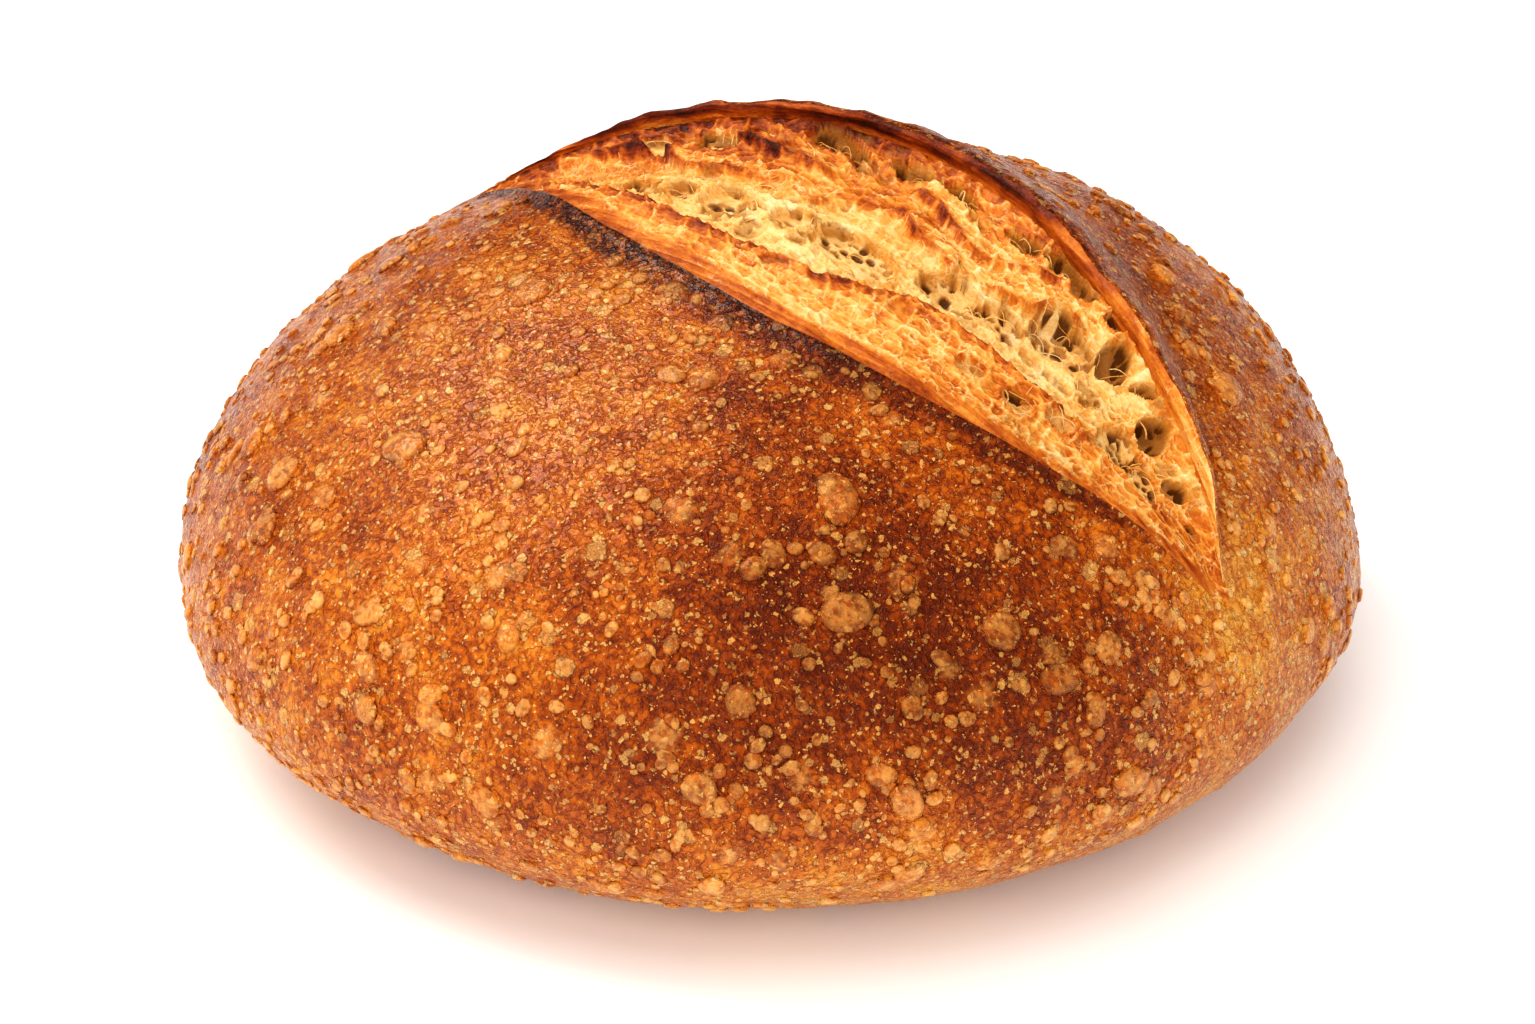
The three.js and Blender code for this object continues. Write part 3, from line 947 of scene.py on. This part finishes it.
# Gluten strands: thin tapered tubes laid over the crumb on bent paths, more of them across the large
# cells. Each is a ring of points carried along its path, which bows as a parabola, wiggles at random
# and dips into the crumb at both ends.
def buildStrands():
    rng = np.random.default_rng(strands["seed"])
    count, steps, sides = strands["count"], strands["steps"], strands["sides"]
    cells = np.array([cell for cell in gasCells if cell[2] > 7])
    picked = cells[rng.integers(0, len(cells), count)]
    nearCell = rng.random(count) < 0.5
    share = np.where(nearCell, picked[:, 0] + rng.normal(0, 0.018, count), rng.uniform(0.06, 0.92, count))
    across = np.where(nearCell, picked[:, 1] + rng.normal(0, 0.05, count), rng.uniform(0.10, 0.9, count))
    flat = slashFlat(share, across)[0]
    heading = rng.normal(0, 0.75, count)[:, None]
    low, high = strands["length"]
    length = low + (high - low) * rng.random(count) ** 2
    bend = rng.normal(0, 0.07, count) * length
    t = np.linspace(-0.5, 0.5, steps)[None, :]
    bow = bend[:, None] * (1 - 4 * t * t)
    aside = bow + 0.05 * rng.standard_normal((count, steps))
    ahead = length[:, None] * t
    along = flat[:, None, 0] + ahead * np.cos(heading) - aside * np.sin(heading)
    sideways = flat[:, None, 1] + ahead * np.sin(heading) + aside * np.cos(heading)
    share = along / slash["length"]
    across = np.clip(sideways / slashFlat(share, 0 * share)[1] + 0.5, 0.05, 0.93)
    height = crumbSwell(share, across)[2]
    height = height + 0.15 - 1.6 * abs(2 * t) ** 3 + 0.2 * rng.standard_normal((count, 1))
    dome, depth = acrossSlash(mix(slash["startTurn"], slash["endTurn"], share), across)
    path = overDome(dome, height, share, depth)

    way = np.gradient(path, axis=1)
    way /= np.linalg.norm(way, axis=-1, keepdims=True)
    side = np.cross(way, outward(dome))
    side /= np.linalg.norm(side, axis=-1, keepdims=True)
    up = np.cross(side, way)
    low, high = strands["radius"]
    radius = (low + (high - low) * rng.random(count) ** 2)[:, None] * (0.65 + 1.4 * abs(t) ** 1.5)
    angle = np.linspace(0, 2 * np.pi, sides, endpoint=False)[:, None]
    around = np.cos(angle) * side[:, :, None] + np.sin(angle) * up[:, :, None]
    rings = path[:, :, None] + radius[..., None, None] * around
    points = np.concatenate([rings.reshape(count, -1, 3), path[:, :1], path[:, -1:]], 1)
    each = points.shape[1]
    fibre = np.stack([np.repeat(flat[:, i], each) for i in (0, 1)] + [points[..., 2].ravel()], -1)
    mesh = meshFrom("loaf_strands", points.reshape(-1, 3), ringFaces(steps, sides, count), {
        "toast": np.repeat(rng.uniform(*strands["toast"], count), each),
        "hollowShade": np.zeros(count * each),
        "fibre": fibre,
    })
    return addPiece("loaf_strands", mesh, [crumbMaterial])


buildStrands()
print("strands made")

# Blisters of two sizes, with radii in mm. The skew is how much commoner the small ones are.
smallBlisters = {"count": 3600, "radius": (0.45, 1.9), "skew": 2.6, "sides": 8, "rings": 3, "seed": 5}
largeBlisters = {"count": 110, "radius": (1.6, 3.0), "skew": 2.0, "sides": 20, "rings": 7, "seed": 6}

# The largest blisters, one by one: [turn, roll, radius in mm].
handBlisters = [
    [60, 127, 4.6], [62, 136, 2.7], [58, 134, 2.5], [56, 131, 2.3], [53, 140, 4.4], [39, 135, 3.8],
    [31, 140, 3.6], [28, 130, 3.0], [102, 139, 4.3], [102, 117, 4.0], [95, 158, 3.0], [93, 164, 3.0],
    [92, 169, 3.0], [116, 148, 4.0], [114, 155, 3.4], [124, 128, 4.0], [116, 126, 2.8], [43, 68, 4.6],
    [79, 120, 3.0], [82, 121, 2.6], [125, 147, 3.4], [85, 167, 3.2], [78, 176, 3.0], [59, 168, 3.2],
    [58, 155, 3.0], [41, 168, 3.4], [19, 170, 3.6], [108, 148, 3.0], [106, 40, 4.4], [80, 30, 3.8],
    [60, 20, 4.0], [130, 50, 3.6], [90, 10, 3.4], [140, 110, 3.2],
]


# Blisters: lenses of skin, as squashed balls half sunk into the crust at random places over the
# outside. Their rings are ovals with a wavering edge, a circle times a few cosines of small height.
def buildBlisters(name, setting, byHand):
    rng = np.random.default_rng(setting["seed"])
    want, sides, rings = setting["count"], setting["sides"], setting["rings"]
    turn = np.degrees(np.arccos(rng.uniform(-0.985, 0.985, want * 3)))
    roll = rng.uniform(-30, 210, want * 3)
    front, ear, _ = slashAt(turn)
    across = (front - roll) / (front - ear)
    fits = (across < -0.04) | (across > 1.2)
    fits |= (slashShare(turn) < -0.08) | (slashShare(turn) > 1.03)
    turn, roll = turn[fits][:want], roll[fits][:want]
    low, high = setting["radius"]
    radius = low + (high - low) * rng.random(len(turn)) ** setting["skew"]
    if byHand:
        turn, roll, radius = np.vstack([np.stack([turn, roll, radius], -1), byHand]).T
    count = len(turn)

    # the crust's own slope under each blister
    centre = crustPoint(turn, roll)
    step = np.degrees(radius / loaf["radius"])
    alongTurn = crustPoint(turn + step, roll) - crustPoint(turn - step, roll)
    alongRoll = crustPoint(turn, roll + step) - crustPoint(turn, roll - step)
    normal = np.cross(alongTurn, alongRoll)
    normal *= np.sign((normal * outward(centre)).sum(-1, keepdims=True))
    normal /= np.linalg.norm(normal, axis=-1, keepdims=True)
    side = alongTurn / np.linalg.norm(alongTurn, axis=-1, keepdims=True)
    spin = rng.uniform(0, 2 * np.pi, count)[:, None]
    first = side * np.cos(spin) + np.cross(normal, side) * np.sin(spin)
    second = np.cross(normal, first)

    oval = rng.uniform(1.0, 1.5, count)
    rise = radius * rng.uniform(0.25, 0.5, count) * mix(1.1, 0.7, smooth(1, 4, radius))
    angle = np.linspace(0, 2 * np.pi, sides, endpoint=False)
    level = np.linspace(np.pi / 2, -np.pi / 2, rings + 2)[1:-1]
    waver = 0
    for waves in (2, 3, 5):
        amount = rng.normal(0, 0.07 / waves, (count, 1, 1))
        waver = waver + amount * np.cos(waves * angle + rng.uniform(0, 6.3, (count, 1, 1)))
    lumpy = 1 + waver + 0.02 * rng.standard_normal((count, rings, sides))
    flatness = np.cos(level)[None, :, None] ** 0.8 * lumpy
    ringX = flatness * np.cos(angle) * (radius * oval ** 0.5)[:, None, None]
    ringY = flatness * np.sin(angle) * (radius / oval ** 0.5)[:, None, None]
    ringZ = np.broadcast_to(np.sin(level)[None, :, None] * rise[:, None, None], ringX.shape)
    balls = (centre[:, None, None] + ringX[..., None] * first[:, None, None]
             + ringY[..., None] * second[:, None, None] + ringZ[..., None] * normal[:, None, None])
    top = centre + normal * rise[:, None]
    bottom = centre - normal * rise[:, None]
    points = np.concatenate([balls.reshape(count, -1, 3), top[:, None], bottom[:, None]], 1)
    each = points.shape[1]
    bake, char = crustBrowningAndPaintedLight(domePoint(turn, roll), turn, roll)
    pale = rng.uniform(0.5, 1.0, count) * mix(1, 0.75, smooth(1.5, 3, radius))
    crownShare = np.concatenate([np.repeat(np.sin(level) * 0.5 + 0.5, sides), [1.0, 0.0]])
    mesh = meshFrom(name, points.reshape(-1, 3), ringFaces(rings, sides, count), {
        "bake": np.repeat(bake, each),
        "char": np.repeat(char * 0.4, each),
        "sheen": np.repeat(crustSheen(centre), each),
        "blister": (pale[:, None] * smooth(0.45, 0.97, crownShare)).ravel(),
    })
    return addPiece(name, mesh, [crustMaterial])


buildBlisters("loaf_blisters_small", smallBlisters, None)
buildBlisters("loaf_blisters_large", largeBlisters, handBlisters)
print("blisters made")

studio = {
    "floorSize": 6.0,  # m
    "floorDrop": 0.0002,  # m below the base, so that the two don't meet
    "floorColour": "#fbfaf9",
    "floorGlow": 0.1,
    "surround": 0.62,
    # (azimuth, elevation, distance in m, width in m, power in W, colour, whether the gloss shows it)
    "lamps": {
        "keyLight": (-78, 54, 1.5, 0.85, 9, "#fff8f0", True),
        "topLight": (35, 76, 1.6, 1.2, 7, "#fffcf6", False),
        "fillLight": (25, 36, 1.8, 1.2, 9, "#fffaf4", False),
    },
    "azimuth": 37.7,  # the camera's, in degrees round from the front, towards the slash's near end
    "elevation": 28.2,
    "distance": 0.8,  # m
    "lens": 94.7,  # mm
    "target": (2.9, -3.9, 35.9),  # mm from the middle of the base
}


# Puts a lamp or the camera at a distance from a point, facing it. The way to it is turned round from the
# front by the azimuth and raised from level by the elevation.
def standAt(name, thing, point, azimuth, elevation, distance):
    item = bpy.data.objects.new(name, thing)
    bpy.context.scene.collection.objects.link(item)
    a, e = math.radians(azimuth), math.radians(elevation)
    way = Vector((math.sin(a) * math.cos(e), -math.cos(a) * math.cos(e), math.sin(e)))
    item.location = point + way * distance
    item.rotation_mode = "QUATERNION"
    item.rotation_quaternion = way.to_track_quat("Z", "Y")
    return item


# White laminate lit from below: matt, and it glows a little, which keeps the shadows thin.
def litFloor():
    material, tree = newMaterial("paleFloor")
    shader = addNode(tree, "BsdfPrincipled", {
        "Base Color": linear(studio["floorColour"]), "Roughness": 0.9,
        "Emission Color": linear("#fffefc"), "Emission Strength": studio["floorGlow"],
    })
    addNode(tree, "OutputMaterial", {"Surface": shader}, is_active_output=True)
    return material


# A square floor, an even pale surround, three round lamps and the camera.
def buildStudio():
    size = studio["floorSize"] / 2
    corners = [(-size, -size, 0), (size, -size, 0), (size, size, 0), (-size, size, 0)]
    mesh = bpy.data.meshes.new("floor")
    mesh.from_pydata(corners, [], [(0, 1, 2, 3)])
    mesh.materials.append(litFloor())
    floor = bpy.data.objects.new("floor", mesh)
    bpy.context.scene.collection.objects.link(floor)
    floor.location.z = cadLow.z - studio["floorDrop"]

    world = bpy.data.worlds.new("studioWorld")
    world.use_nodes = True
    world.node_tree.nodes["Background"].inputs["Color"].default_value = (1, 1, 1, 1)
    world.node_tree.nodes["Background"].inputs["Strength"].default_value = studio["surround"]
    bpy.context.scene.world = world
    world.cycles_visibility.glossy = False
    bpy.context.scene.view_settings.view_transform = "Standard"
    bpy.context.scene.view_settings.look = "Medium High Contrast"

    for name, (azimuth, elevation, distance, width, power, colour, mirrored) in studio["lamps"].items():
        light = bpy.data.lights.new(name, "AREA")
        light.shape = "DISK"
        light.size = width
        light.energy = power
        light.color = linear(colour)[:3]
        lamp = standAt(name, light, Vector(), azimuth, elevation, distance)
        lamp.visible_glossy = mirrored

    camera = bpy.data.cameras.new("camera")
    camera.lens = studio["lens"]
    camera.sensor_width = 36
    baseMiddle = Vector(((loafLow.x + loafHigh.x) / 2, (loafLow.y + loafHigh.y) / 2, loafLow.z))
    target = baseMiddle + Vector(studio["target"]) * mm
    bpy.context.scene.camera = standAt(
        "camera", camera, target, studio["azimuth"], studio["elevation"], studio["distance"])


buildStudio()
print("studio made")
